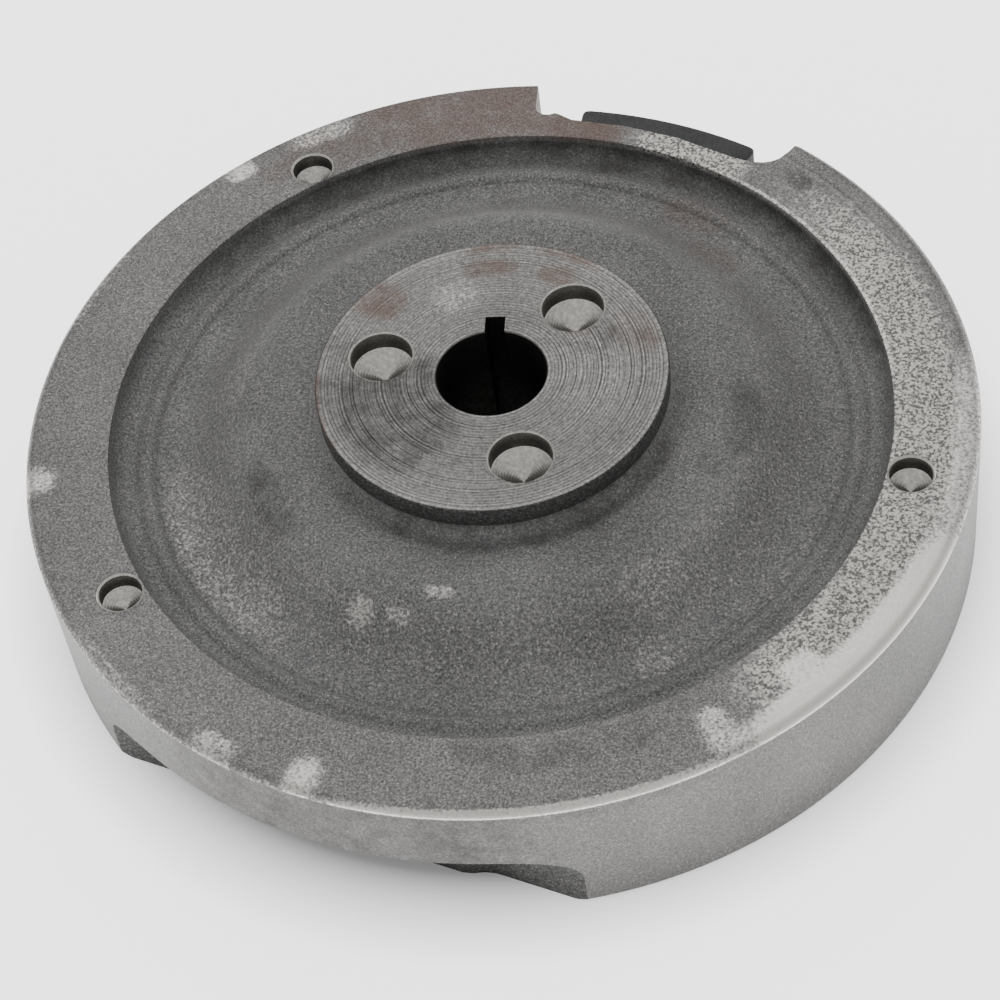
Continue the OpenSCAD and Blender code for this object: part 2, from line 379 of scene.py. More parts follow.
def grooves(start_r, end_r, z):
    """A faced surface: every turn of the tool leaves a steep side, a floor and a long side."""
    count = round((end_r - start_r) / GROOVE_PITCH)
    pitch = (end_r - start_r) / count
    run = []
    for i in range(count):
        run += [(start_r + pitch * i, z), (start_r + pitch * (i + 0.3), z - GROOVE_DEPTH),
                (start_r + pitch * (i + 0.62), z - 0.45 * GROOVE_DEPTH)]
    return run

def web_line(middle_z, floor_z, start_r, end_r, step):
    """The falling web between two radii, where the slope is one half wave of a cosine."""
    count = round(abs(end_r - start_r) / step)
    run = []
    for i in range(count + 1):
        r = start_r + (end_r - start_r) * i / count
        share = min(max((r - SLOPE_IN_R) / (SLOPE_OUT_R - SLOPE_IN_R), 0), 1)
        run.append((r, middle_z + (floor_z - middle_z) * (1 - math.cos(math.pi * share)) / 2))
    return run

def casting_section():
    taper_r = BORE_R + TAPER / 2 * (LAND_Z - BOSS_Z)
    under_mid, under_out = WEB_MID_Z - WEB_T, WEB_OUT_Z - WEB_T
    bored = line((taper_r, BOSS_Z + 0.4), (BORE_R, LAND_Z), 4)
    bored += line((BORE_R, LAND_Z), (BORE_R, HUB_Z - 0.5), 3)
    mouth = arc(BORE_R + 0.5, HUB_Z - 0.5, 0.5, 180, 90, 3)
    hub_face = grooves(BORE_R + 0.9, HUB_R - 0.7, HUB_Z) + [(HUB_R - 0.7, HUB_Z)]
    hub_side = arc(HUB_R - 0.3, HUB_Z - 0.3, 0.3, 90, 0, 3)
    hub_foot = arc(HUB_R + HUB_FILLET, WEB_MID_Z + HUB_FILLET, HUB_FILLET, 180, 270, 6)
    web = web_line(WEB_MID_Z, WEB_OUT_Z, HUB_R + 4.4, 83.6, 1.5)
    ledge = [(84.2, WEB_OUT_Z - 0.3), (84.9, WEB_OUT_Z + 0.35), (85.8, WEB_OUT_Z + 0.9),
             (87.2, WEB_OUT_Z + 0.95), (88.5, WEB_OUT_Z + 0.5), (89.2, WEB_OUT_Z + 0.2)]
    corner = arc(FACE_R - RIM_FILLET, WEB_OUT_Z + RIM_FILLET + 0.2, RIM_FILLET, 272, 352, 8)
    rim_in = [(FACE_R + 0.05, RIM_Z - 0.5), (FACE_R + 0.2, RIM_Z - 0.15), (FACE_R + 0.55, RIM_Z)]
    rim_face = line((FACE_R + 1, RIM_Z), (RIM_R - 1.6, RIM_Z), 0.8)
    rim_edge = [(RIM_R - 1.5, RIM_Z - 0.02), (RIM_R - 1.2, RIM_Z - 0.15), (RIM_R - 0.15, RIM_Z - 1.15),
                (RIM_R - 0.02, RIM_Z - 1.5)]
    outside = line((RIM_R, RIM_Z - 2), (RIM_R, 1.8), 2) + [(RIM_R, 1.8)]
    foot = [(RIM_R - 0.02, 1.5), (RIM_R - 0.15, 1.15), (RIM_R - 1.2, 0.15), (RIM_R - 1.5, 0.02)]
    lower_edge = line((RIM_R - 2, 0), (BOWL_R + 2, 0), 2.5) + [(BOWL_R + 1.6, 0)]
    bowl_edge = arc(BOWL_R + BROKEN_EDGE, BROKEN_EDGE, BROKEN_EDGE, 270, 180, 3)
    bowl = line((BOWL_R, 2.5), (BOWL_R - 1.6, under_out - UNDER_FILLET - 1), 3)
    bowl += arc(BOWL_R - DRAFT - UNDER_FILLET, under_out - UNDER_FILLET, UNDER_FILLET, 0, 90, 7)
    under = web_line(under_mid, under_out, SLOPE_OUT_R - 0.5, BOSS_R + 11, 3)
    boss = arc(BOSS_R + DRAFT + UNDER_FILLET, under_mid - UNDER_FILLET, UNDER_FILLET, 90, 180, 7)
    boss += line((BOSS_R + 1.7, 24), (BOSS_R + 0.1, BOSS_Z + 2.5), 4)
    boss_edge = arc(BOSS_R - BROKEN_EDGE, BOSS_Z + BROKEN_EDGE, BROKEN_EDGE, 0, -90, 3)
    boss_face = line((BOSS_R - 2.2, BOSS_Z), (taper_r + 0.8, BOSS_Z), 2) + [(taper_r + 0.5, BOSS_Z)]
    # the hub's side wall takes the darker as-cast finish, whose darkness there is painted shade
    return [("bored", 0, bored), ("hub_face", 0, mouth), ("hub_face", 0, hub_face),
            ("as_cast", 0, hub_side), ("cast_skin", 0.3, hub_foot), ("cast_skin", 1, web),
            ("cast_skin", 1, ledge), ("cast_skin", 1, corner), ("rim_face", 0, rim_in),
            ("rim_face", 0, rim_face), ("rim_face", 0, rim_edge), ("outer_wall", 0, outside),
            ("outer_wall", 0, foot), ("rim_face", 0, lower_edge), ("cast_skin", 0, bowl_edge),
            ("cast_skin", 1, bowl), ("cast_skin", 1, under), ("cast_skin", 1, boss),
            ("cast_skin", 0, boss_edge), ("rim_face", 0, boss_face)]

section, flip = section_object("casting_section", casting_section())
print("casting section has", len(section.data.vertices), "points")

# %% [markdown]
# ## Materials
#
# All the iron is one metal, but each process leaves it another skin. The sand mould and the shot
# give the web a matte, gritty skin. The tool leaves bright metal that has since gone dull grey.
# Hands and shelves rub the high edges bright, and damp leaves brown. One recipe makes them all, so
# that they stay one family, and its numbers set the grain, the specks, the ring marks and the wear.
#
# Wear is painted on the mesh as plain attributes, because it follows places on the part, and noise
# in the material breaks up its outline. Some of these attributes also carry painted shade and painted
# light, where the casting's own shading and sheen are drawn into its colour.

# %% Materials
# The bright grains and the pits are about 0.2 mm on the iron. They are drawn a little coarser, so
# that they still show.
SPECK_MM, PIT_MM = 0.42, 0.62
# Each kind of wear: attribute, colour (none for the freckled ground), roughness, size in mm of the noise
# that breaks its outline, how soft that outline is, and how much of the skin it hides at most. The dark
# stain kind also lays painted shade, and the bright polish kind painted light, highlights and sheen.
WEAR_KINDS = (("stain", "#343332", 0.6, 6.0, 0.8, 0.7), ("rust", "#75594d", 0.75, 6.0, 0.9, 0.52),
              ("pitted", None, 0.5, 3.0, 0.6, 0.95), ("polish", "#dedad3", 0.38, 0.75, 0.38, 0.8))

def iron_material(name, dark, mid, light, grain_mm=1.1, speck=0.3, rough=(0.5, 0.7), bump_mm=0.08,
                  ring_mm=0.0, ring_bump_mm=0.0, mottle=0.25, wear=True):
    """One skin of grey cast iron. The three colours are the deep, common and high points of its grain."""
    material, tree, place = start_material(name)

    # grain: the mottling of the casting, the grit of the shot, and single bright grains, which are partly
    # bright metal and partly painted glints
    broad = noise(tree, place, 28, 3.0)
    grit = noise(tree, place, grain_mm, 2.0, 0.6)
    fine = noise(tree, place, SPECK_MM, 0.0)
    tone = add_node(tree, "ShaderNodeValToRGB", {"Fac": grit}).outputs["Color"]
    ramp = tone.node.color_ramp
    ramp.elements[0].position, ramp.elements[0].color = 0.25, hex_linear(dark)
    ramp.elements[1].position, ramp.elements[1].color = 0.75, hex_linear(light)
    ramp.elements.new(0.5).color = hex_linear(mid)
    bright = spread(tree, fine, 0.62, 0.80, 0.0, speck)
    tone = mixed(tree, bright, tone, hex_linear("#b9b6b0"))
    shade = spread(tree, broad, 0.3, 0.7, 1 - mottle, 1 + mottle)
    tone = scaled(tree, tone, shade)
    roughness = spread(tree, grit, 0.3, 0.7, rough[1], rough[0])
    height = maths(tree, "MULTIPLY", grit, bump_mm * MM)

    if ring_mm:
        # ring marks: noise that varies only with the radius, so that no two rings are alike
        flat = add_node(tree, "ShaderNodeVectorMath", {0: place, 1: (1, 1, 0)},
                        operation="MULTIPLY").outputs["Vector"]
        radius = add_node(tree, "ShaderNodeVectorMath", {0: flat}, operation="LENGTH").outputs["Value"]
        asked = {"W": radius, "Scale": 1 / (ring_mm * MM), "Detail": 2.0}
        rings = add_node(tree, "ShaderNodeTexNoise", asked, noise_dimensions="1D").outputs["Fac"]
        turned = painted(tree, "turned")
        centred = maths(tree, "SUBTRACT", rings, 0.5)
        amount = maths(tree, "MULTIPLY", centred, turned)
        height = maths(tree, "MULTIPLY_ADD", amount, ring_bump_mm * MM, height)
        # where the turned attribute is raised, as on the hub's left and right, the stronger light and dark
        # of the rings is painted glint
        lift = maths(tree, "MULTIPLY_ADD", amount, 1.1, 1.0)
        tone = scaled(tree, tone, lift)

    if wear:
        # pits: dark freckles in a rubbed ground, about as many of the one as of the other
        pits = noise(tree, place, PIT_MM, 3.0)
        pits = spread(tree, pits, 0.42, 0.58)
        freckled = mixed(tree, pits, hex_linear("#62605e"), hex_linear("#c6c3bd"))
        # the stain kind also darkens as painted shade, and the polish kind brightens as painted light
        for attribute, colour, wear_rough, size_mm, soft, most in WEAR_KINDS:
            asked = painted(tree, attribute)
            breaks = noise(tree, place, size_mm, 4.0, 0.65)
            level = maths(tree, "ADD", asked, breaks)
            mask = spread(tree, level, 1.0 - soft / 2, 1.0 + soft / 2, 0.0, most,
                          interpolation_type="SMOOTHSTEP")
            tone = mixed(tree, mask, tone, hex_linear(colour) if colour else freckled)
            roughness = mixed(tree, mask, roughness, wear_rough, "FLOAT")

    end_material(tree, tone, roughness, height, 1.0)
    return material

# Sand-cast grey iron, shot-blasted: matte grit with bright points where shot has struck, partly
# bright metal and partly painted glints.
cast_skin = iron_material("shot_blasted_grey_iron", "#6a6a6a", "#838382", "#9e9d9b", grain_mm=0.6,
                          speck=0.8, rough=(0.72, 0.88), bump_mm=0.10, mottle=0.12)
# Darker grey iron: on the hub's side wall its darkness is painted shade under the hub's edge, and in
# the balance relief it is darker iron.
dark_iron_and_painted_shade_skin = iron_material("as_cast_grey_iron", "#3f3f3f", "#4e4e4d", "#606060", grain_mm=0.8, speck=0.3,
                             rough=(0.6, 0.8), bump_mm=0.07, mottle=0.15)
# The rim face: faced on the lathe, then blasted, rubbed bright along its outer edge, and freckled.
rim_skin = iron_material("faced_and_blasted_grey_iron", "#646362", "#7a7978", "#949290", grain_mm=0.55,
                         speck=0.7, rough=(0.5, 0.7), bump_mm=0.04, ring_mm=1.1, ring_bump_mm=0.10,
                         mottle=0.10)
# The hub face: a coarse facing cut, left bright, with brown films of old oil.
hub_skin = iron_material("coarse_turned_grey_iron", "#646361", "#7b7a78", "#979591", grain_mm=0.6,
                         speck=0.3, rough=(0.36, 0.5), bump_mm=0.015, ring_mm=0.5, ring_bump_mm=0.05,
                         mottle=0.14)
# The outside: turned finely, gone evenly dull, with faint clouds of handling.
wall_skin = iron_material("fine_turned_grey_iron", "#555453", "#646362", "#777674", grain_mm=0.6,
                          speck=0.25, rough=(0.42, 0.55), bump_mm=0.015, mottle=0.12)
# Drill points: fresh bright metal, because nothing rubs or blasts them.
drilled_skin = iron_material("drilled_grey_iron", "#97958f", "#aba9a3", "#c0bdb8", grain_mm=0.9, speck=0.1,
                             rough=(0.2, 0.3), bump_mm=0.008, mottle=0.08, wear=False)
# The straight walls of the holes: darkened by dirt and old oil.
hole_wall_skin = iron_material("oily_drilled_grey_iron", "#72706e", "#82807e", "#949290", grain_mm=0.7,
                               speck=0.1, rough=(0.36, 0.5), bump_mm=0.02, mottle=0.15, wear=False)
# The bore: reamed smooth, then black with oil.
bored_skin = iron_material("oiled_reamed_grey_iron", "#4c4a49", "#5a5856", "#6a6866", grain_mm=1.2,
                           speck=0.05, rough=(0.35, 0.5), bump_mm=0.01, mottle=0.15, wear=False)
skins = {"drilled": drilled_skin, "hole_wall": hole_wall_skin, "hub_face": hub_skin, "cast_skin": cast_skin,
         "as_cast": dark_iron_and_painted_shade_skin, "rim_face": rim_skin, "outer_wall": wall_skin, "bored": bored_skin}
print(len(bpy.data.materials), "materials so far")

# %% [markdown]
# ## Drills and cutters
#
# The foundry and the workshop cut the same casting in a fixed order: holes in the hub, holes in the
# rim, the keyway, the slot for the magnets and the relief that balances them. Each cutter is a
# closed solid. The drills are turned by the same lathe tree, and a second tree sets a drill on
# every hole and takes the cutters out of the casting, one boolean after another.

# %% Cutters
DRILL_RISE = math.tan(math.radians(31))

def drill_section(name, radius, depth):
    """A drill with its 118 degree point and a broken edge at the mouth, standing at height 0."""
    count = round(radius / 0.6)
    cone = []
    for i in range(count):
        for share, lift in ((0.0, 0.0), (0.35, 0.035), (0.7, 0.012)):
            r = radius * (i + share) / count
            cone.append((r, -depth - (radius - r) * DRILL_RISE + lift))
    wall = [(radius, -depth), (radius, -depth / 2)]
    mouth = [(radius, -0.6), (radius + 0.15, -0.3), (radius + 0.7, 0.02), (radius + 0.7, 2), (0.0, 2)]
    return section_object(name, [("drilled", 0, cone), ("hole_wall", 0, wall), ("drilled", 0, mouth)])

def turned_solid(name, section_and_flip, steps, skin=0.0):
    section_source, section_flip = section_and_flip
    made = new_object(name, bpy.data.meshes.new(name))
    use_tree(made, lathe, {"Section": section_source, "Steps": steps, "Flip": section_flip,
                           "Skin height": skin * MM, "Skin seed": 3.0})
    return bake_modifiers(made)

def prism(name, outline, z_low, z_high):
    """A closed solid from a flat outline in mm, counted anticlockwise."""
    count = len(outline)
    points = [(x * MM, y * MM, z * MM) for z in (z_low, z_high) for x, y in outline]
    faces = [tuple(reversed(range(count))), tuple(range(count, 2 * count))]
    faces += [(i, (i + 1) % count, count + (i + 1) % count, count + i) for i in range(count)]
    mesh = bpy.data.meshes.new(name)
    mesh.from_pydata(points, [], faces)
    return new_object(name, mesh)

def polar(radius, degrees):
    return radius * math.cos(math.radians(degrees)), radius * math.sin(math.radians(degrees))

def slot_outline():
    """The slot in plan: two end walls, the left one with a rounded tip, and an uneven cast floor."""
    left, right = SLOT_ANGLE + SLOT_HALF, SLOT_ANGLE - SLOT_HALF
    well_outside = RIM_R + 20
    points = [polar(well_outside, right - 0.3), polar(well_outside, left + 0.8)]
    for i in range(7):
        turn = math.radians(90 - 15 * i)
        radius = RIM_R - SLOT_TIP_R + SLOT_TIP_R * math.sin(turn)
        points.append(polar(radius, left + math.degrees(SLOT_TIP_R * (1 - math.cos(turn)) / radius)))
    floor = [(0.0, 105.4), (-0.15, 104.2), (-0.6, 103.3), (-1.3, 102.7), (-2.2, 102.7), (-2.9, 103.3),
             (-3.6, 102.9), (-4.6, 102.0), (-5.6, 101.1), (-6.2, SEAT_R), (-14, SEAT_R), (-22, SEAT_R),
             (-30, SEAT_R), (-31.5, 101.2), (-33.2, 101.9), (-34.6, 102.8), (-35.7, 104.0),
             (-36.5, 105.6), (-37.0, 107.4)]
    points += [polar(radius, left + offset) for offset, radius in floor]
    points += [polar(111, right), polar(113.6, right + 0.05), polar(RIM_R - 0.6, right - 0.15)]
    return points[::-1]

def outward(made):
    """Recalculates the normals of a closed solid so that they all point out."""
    shape = bmesh.new()
    shape.from_mesh(made.data)
    bmesh.ops.recalc_face_normals(shape, faces=shape.faces)
    if shape.calc_volume(signed=True) < 0:
        bmesh.ops.reverse_faces(shape, faces=shape.faces)
    shape.to_mesh(made.data)
    shape.free()
    return made

def relief_cutter():
    """The relief is a prism along the rim, with a fillet under its roof and a low pad in its middle."""
    far = RIM_R + 4
    steps = [-70 + 2.5 * i for i in range(57)]
    profile_rows = []
    for along in steps:
        share = min(max((PAD_FOOT - abs(along)) / PAD_RAMP, 0), 1)
        wall = RELIEF_D + PAD_RISE * (1 - math.cos(math.pi * share)) / 2
        profile = [(wall, -2), (wall, 2), (wall, 6)] + arc(wall + RELIEF_FILLET, RELIEF_H - RELIEF_FILLET,
                                                           RELIEF_FILLET, 180, 90, 8)
        profile += [(far, RELIEF_H + 0.3), (far, -2)]
        profile_rows.append([(d, along, z) for d, z in profile])
    count = len(profile_rows[0])
    turn = Matrix.Rotation(math.radians(RELIEF_ANGLE), 3, "Z")
    points = [tuple(turn @ Vector(p) * MM) for row in profile_rows for p in row]
    faces = [tuple((r + a) * count + (k + b) % count for a, b in ((0, 0), (0, 1), (1, 1), (1, 0)))
             for r in range(len(steps) - 1) for k in range(count)]
    faces += [tuple(range(count)), tuple(reversed(range((len(steps) - 1) * count, len(steps) * count)))]
    mesh = bpy.data.meshes.new("relief_cutter")
    mesh.from_pydata(points, [], faces)
    return new_object("relief_cutter", mesh)

hub_drill = turned_solid("hub_drill", drill_section("hub_drill_section", DOG_R, DOG_DEPTH), 64)
pin_drill = turned_solid("pin_drill", drill_section("pin_drill_section", PIN_R, PIN_DEPTH), 56)
keyway = prism("keyway_cutter", [(-KEY_W / 2, 2), (KEY_W / 2, 2), (KEY_W / 2, BORE_R + KEY_T),
                                 (-KEY_W / 2, BORE_R + KEY_T)], -2, HUB_Z + 2)
slot_cutter = prism("slot_cutter", slot_outline(), -2, RIM_Z + 2)
relief = relief_cutter()
for cutter in (keyway, slot_cutter, relief):
    outward(cutter)

hub_places = bpy.data.meshes.new("hub_hole_places")
hub_places.from_pydata([(*(c * MM for c in polar(DOG_CIRCLE_R, DOG_ANGLE + 120 * k)),
                         HUB_Z * MM) for k in range(3)], [], [])
pin_mesh = bpy.data.meshes.new("pin_hole_places")
pin_mesh.from_pydata([tuple(Vector((p.x, p.y, RIM_Z)) * MM) for p in pin_places], [], [])
hub_points, pin_points = new_object("hub_hole_places", hub_places), new_object("pin_hole_places", pin_mesh)
print("cutters made, slot outline has", len(slot_outline()), "points")

# %% [markdown]
# ## The casting
#
# The tree below drills and cuts the turned blank. It gives every zone of the blank its finish
# before the cut, and every cutter the finish that it leaves behind, so the boolean carries the
# right finish into each hole.

# %% Cutting tree
def cutting_tree():
    tools = ("Hub drill", "Hub places", "Pin drill", "Pin places", "Keyway", "Slot", "Relief")
    tree, asked = geometry_tree("drill_and_cut", [("Geometry", "Geometry")] + [(tool,
            "Object") for tool in tools])
    zone = named(tree, "zone", "INT")

    def finished(shape, names):
        for name in names:
            here = add_node(tree, "FunctionNodeCompare", {2: zone, 3: ZONES.index(name)}, data_type="INT",
                            operation="EQUAL").outputs["Result"]
            shape = add_node(tree, "GeometryNodeSetMaterial", {"Geometry": shape, "Selection": here,
                                                               "Material": skins[name]}).outputs[0]
        return shape

    shape = finished(asked["Geometry"], ZONES)
    cutters = []
    for drill, places in (("Hub drill", "Hub places"), ("Pin drill", "Pin places")):
        tool = shape_of(tree, asked[drill])
        tool = finished(tool, ("drilled", "hole_wall"))
        points = shape_of(tree, asked[places])
        points = add_node(tree, "GeometryNodeMeshToPoints", {"Mesh": points}).outputs[0]
        placed = add_node(tree, "GeometryNodeInstanceOnPoints", {"Points": points,
                                                                 "Instance": tool}).outputs[0]
        cutters.append(add_node(tree, "GeometryNodeRealizeInstances", {"Geometry": placed}).outputs[0])
    for name, skin in (("Keyway", bored_skin), ("Slot", rim_skin), ("Relief", dark_iron_and_painted_shade_skin)):
        tool = shape_of(tree, asked[name])
        cutters.append(add_node(tree, "GeometryNodeSetMaterial", {"Geometry": tool,
                                                                  "Material": skin}).outputs[0])
    for cutter in cutters:
        cut = add_node(tree, "GeometryNodeMeshBoolean", {"Mesh 1": shape, "Mesh 2": cutter},
                       operation="DIFFERENCE", solver="EXACT")
        shape = cut.outputs["Mesh"]
    add_node(tree, "NodeGroupOutput", {0: shape})
    return tree

SKIN_HEIGHT, LATHE_STEPS = 0.22, 288
casting = new_object("flywheel", bpy.data.meshes.new("flywheel"))
use_tree(casting, lathe, {"Section": section, "Steps": LATHE_STEPS, "Flip": flip,
                          "Skin height": SKIN_HEIGHT * MM, "Skin seed": 1.0})
use_tree(casting, cutting_tree(), {"Hub drill": hub_drill, "Hub places": hub_points, "Pin drill": pin_drill,
         "Pin places": pin_points, "Keyway": keyway, "Slot": slot_cutter, "Relief": relief})
bake_modifiers(casting)
print("casting:", len(casting.data.vertices), "vertices,", len(casting.data.polygons), "faces,",
      len(casting.data.materials), "materials")

# %% [markdown]
# ## Wear, painted shade and painted light on the casting
#
# The rim was rubbed bright along one side, where it has been slid about on its edge. Next to that
# the skin is freckled. Near the magnets it is brown. Hub and web have marks of their own. Some marks
# are painted shade and painted light, not wear: the darker left of the hub and its brighter right,
# the shadow round the hub's foot, the shade on the web's slope and in the far fillet, the light that
# lifts the slope, and part of a bright line on the rim's inner edge. Each mark is a soft patch that
# lies round the axis. Its five numbers are the angle of its middle and its half width in degrees, the
# radius of its middle and its half width in mm, and its strength. Sculpting or painting by hand would
# do the same, but a short list can be read and changed.

# %% Wear marks
co = np.empty(len(casting.data.vertices) * 3)
casting.data.vertices.foreach_get("co", co)
co = co.reshape(-1, 3) / MM
radius, angle, height = np.hypot(co[:, 0], co[:, 1]), np.degrees(np.arctan2(co[:, 1], co[:, 0])), co[:, 2]

def patch(middle_deg, half_deg, middle_r, half_r, strength, edge=0.6):
    """A soft-edged oval round the axis: full strength inside, and none at its half widths."""
    off = np.abs((angle - middle_deg + 180) % 360 - 180) / half_deg
    across = np.abs(radius - middle_r) / half_r
    reach = np.clip((1 - (off ** 3 + across ** 3) ** (1 / 3)) / edge, 0, 1)
    return strength * reach * reach * (3 - 2 * reach)

on_rim = (height > RIM_Z - 1.6) & (radius > FACE_R)
on_hub = height > HUB_Z - 0.5
on_wall = radius > RIM_R - 1.3
rim_marks = {
    # the polish mark at radius 95 is a bright line along the rim's inner edge, partly rubbed metal and
    # partly a painted highlight of that edge
    "polish": [(-39, 30, 113.5, 9.5, 0.80), (-47, 5, 107, 9, 0.66), (-60, 4, 108, 12, 0.52),
               (-8, 26, 113, 8, 0.52), (-82, 40, 115, 2.6, 0.68), (0, 720, 115, 2.0, 0.40),
               (-138, 14, 114, 4, 0.44), (-121, 5, 113, 7, 0.50), (-109.5, 3.4, 111, 9, 0.58),
               (-170, 4, 113, 9, 0.54), (130.5, 3.6, 112, 6.5, 0.58), (118, 8, 112, 8, 0.46),
               (32, 44, 95.0, 1.5, 0.50), (156, 16, 114, 3, 0.42)],
    "pitted": [(0, 62, 101, 14, 0.85), (-40, 22, 103, 13, 0.85), (62, 13.5, 98, 9, 0.85)],
    "rust": [(96, 24, 105, 18, 0.62), (80, 9, 99, 10, 0.8), (93, 7, 109, 8, 0.72),
             (118, 16, 104, 12, 0.40)],
    "turned": [(16, 40, 110, 9, 1.3), (50, 22, 112, 6, 1.0)],
    "stain": [(45.5, 3.2, 104.5, 4.0, 0.72), (-148, 6, 101, 7, 0.44), (-80, 22, 100, 7, 0.36)],
}
hub_marks = {
    "rust": [(65, 11, 34, 5, 0.62), (65, 16, 41.5, 3, 0.60), (92, 14, 41.5, 3, 0.56),
             (94, 17, 34.5, 4, 0.60), (140, 13, 37, 9, 0.62), (-170, 30, 42, 1.2, 0.50),
             (20, 16, 36, 7, 0.42), (40, 30, 24, 5, 0.40)],
    # the hub's polish marks are painted sheen, lighting its right side and its back left as its turned
    # rings catch the light
    "polish": [(112, 22, 27, 9, 0.40), (-10, 44, 26, 14, 0.30), (-55, 60, 39, 5, 0.24)],
    # the two strong ring marks, at the left and the right, paint in the glints of the turned rings
    "turned": [(0, 720, 28, 60, 0.8), (-150, 50, 26, 16, 2.4), (8, 46, 27, 16, 2.2)],
    # the first and the last stain marks are painted shade that darkens the hub's left side
    "stain": [(-155, 66, 24, 22, 0.58), (28, 22, 27, 9, 0.40), (-175, 40, 38, 9, 0.40)],
}
web_marks = {
    # the last polish mark, all round the falling web, is painted light that lifts the shade of the slope
    "polish": [(-115, 5, 66.5, 5, 0.48), (-99, 6, 59, 3, 0.46), (-107, 5, 65, 3, 0.44),
               (-54, 14, 66, 9, 0.36), (-60, 9, 80, 9, 0.34), (-150, 40, 76, 14, 0.38),
               (171, 16, 66, 9, 0.36), (0, 720, 69, 14, 0.31)],
    # all these stain marks are painted shade: a shadow round the hub's foot, darker crescents on the slope
    # at the right and the left, and shade in the far fillet under the rim
    "stain": [(-75, 105, 44.5, 5, 0.52), (-8, 16, 60, 7, 0.50), (-22, 9, 56, 5, 0.40),
              (-150, 17, 60, 6, 0.50), (75, 110, 92.5, 4.5, 0.62)],
    "rust": [(56, 11, 84, 8, 0.42), (47, 9, 74, 9, 0.38)],
}
fall = np.clip((radius - SLOPE_IN_R) / (SLOPE_OUT_R - SLOPE_IN_R), 0, 1)
web_top = WEB_MID_Z + (WEB_OUT_Z - WEB_MID_Z) * (1 - np.cos(np.pi * fall)) / 2
on_web = (height > web_top - 2) & (radius > HUB_R - 0.1) & (height < HUB_Z - 1) & (radius < FACE_R)
for name in ("polish", "pitted", "rust", "turned", "stain"):
    total = np.zeros(len(co))
    for where, marks in ((on_rim, rim_marks), (on_hub, hub_marks), (on_web, web_marks)):
        for values in marks.get(name, []):
            total = np.maximum(total, np.where(where, patch(*values), 0))
    if name == "stain":
        band = patch(-78, 26, 115, 4, 0.5) * np.clip(1 - np.abs(height - 37) / 3, 0, 1)
        cloud = patch(-106, 34, 115, 6, 0.44)
        total = np.maximum(total, np.where(on_wall & (height < RIM_Z - 1.5), np.maximum(band, cloud), 0))
    casting.data.attributes.new(name, "FLOAT", "POINT").data.foreach_set("value", total)
    print(name, "covers", f"{(total > 0.3).mean():.1%} of the points")

# %% [markdown]
# ## Shading of the casting
#
# Turned edges read as edges, and cast corners read as soft, so an edge is sharp only where its
# faces meet at more than 32 degrees.

# %% Smooth and sharp
def smooth_with_sharp_edges(made, limit_deg=32):
    shape = bmesh.new()
    shape.from_mesh(made.data)
    for face in shape.faces:
        face.smooth = True
    for edge in shape.edges:
        edge.smooth = len(edge.link_faces) == 2 and edge.calc_face_angle(0) < math.radians(limit_deg)
    shape.to_mesh(made.data)
    shape.free()
    return made

smooth_with_sharp_edges(casting)

# %% [markdown]
# ## The magnet pack
#
# A dark moulding holds one magnet and two stacks of steel sheets, the pole shoes, which lead the
# magnet's field out to the ignition coil. Two screws on spring washers hold it in the slot. Only
# its top and outer edge show from the fan side, but the whole pack is there.

# %% Moulding, steel and magnet materials
def plain_material(name, dark, light, grain_mm, rough, bump_mm, metallic, stretch=(1, 1, 1)):
    """A finish with one grain: colour, roughness and height all follow it."""
    material, tree, place = start_material(name)
    place = add_node(tree, "ShaderNodeMapping", {"Vector": place, "Scale": stretch}).outputs["Vector"]
    grain = noise(tree, place, grain_mm, 4.0, 0.6)
    cloud = noise(tree, place, 14, 2.0)
    both = mixed(tree, 0.35, grain, cloud, "FLOAT")
    share = spread(tree, both, 0.35, 0.65)
    tone = mixed(tree, share, hex_linear(dark), hex_linear(light))
    roughness = spread(tree, share, 0.0, 1.0, rough[1], rough[0])
    height = maths(tree, "MULTIPLY", grain, bump_mm * MM)
    end_material(tree, tone, roughness, height, metallic)
    return material

# Mineral-filled moulding compound: charcoal, matte, with a faint sandy grain from its filler.
moulding = plain_material("charcoal_moulding_compound", "#1f1f20", "#2e2e2f", 0.9, (0.5, 0.68), 0.03, 0.0)
# Sintered ferrite: almost black, dull, with the fine pores of pressed powder.
ferrite = plain_material("sintered_ferrite", "#2b2a2b", "#3c3a3b", 0.7, (0.55, 0.7), 0.03, 0.0)
# Silicon steel sheets, ground on their outer ends after riveting: streaks run round the rim.
laminations = plain_material("ground_silicon_steel", "#7f7d79", "#b0ada7", 0.8, (0.3, 0.48), 0.01, 1.0,
                             (0.25, 0.25, 2.0))
# Zinc-plated steel: pale and satin, clouded by handling.
zinc = plain_material("zinc_plated_steel", "#9c9c99", "#c6c6c0", 2.0, (0.28, 0.42), 0.006, 1.0)

# %% [markdown]
# ## Holder
#
# The holder is a block bent to the rim's curve. Its outline is drawn in plan, raised, and given
# small rounded edges by a bevel, as the mould has. Pockets for the steel stacks, the magnet and the
# screws are cut out with booleans, which is also how the mould's cores make them.

# %% Holder
pack_low, pack_high = (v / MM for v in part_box("magnet_holder"))
HOLDER_R, HOLDER_HALF, HOLDER_Z0, HOLDER_Z1 = 114.6, 12.4, pack_low.z, pack_high.z
PACK_Z = (HOLDER_Z0 + HOLDER_Z1) / 2
SHOE_IN, SHOE_OUT, SHOE_BED_R, SHOE_FACE_R, SHOE_H = 2.5, 6.3, 103.6, 114.9, 16.0
MAGNET_IN_R, MAGNET_OUT_R, MAGNET_HALF, MAGNET_H = 104.0, 111.0, 2.5, 14.0
SCREW_OFF, SHANK_R, HEAD_R, HEAD_H, BED_R, WASHER_T = 9.2, 2.5, 4.0, 3.6, 108.6, 1.2
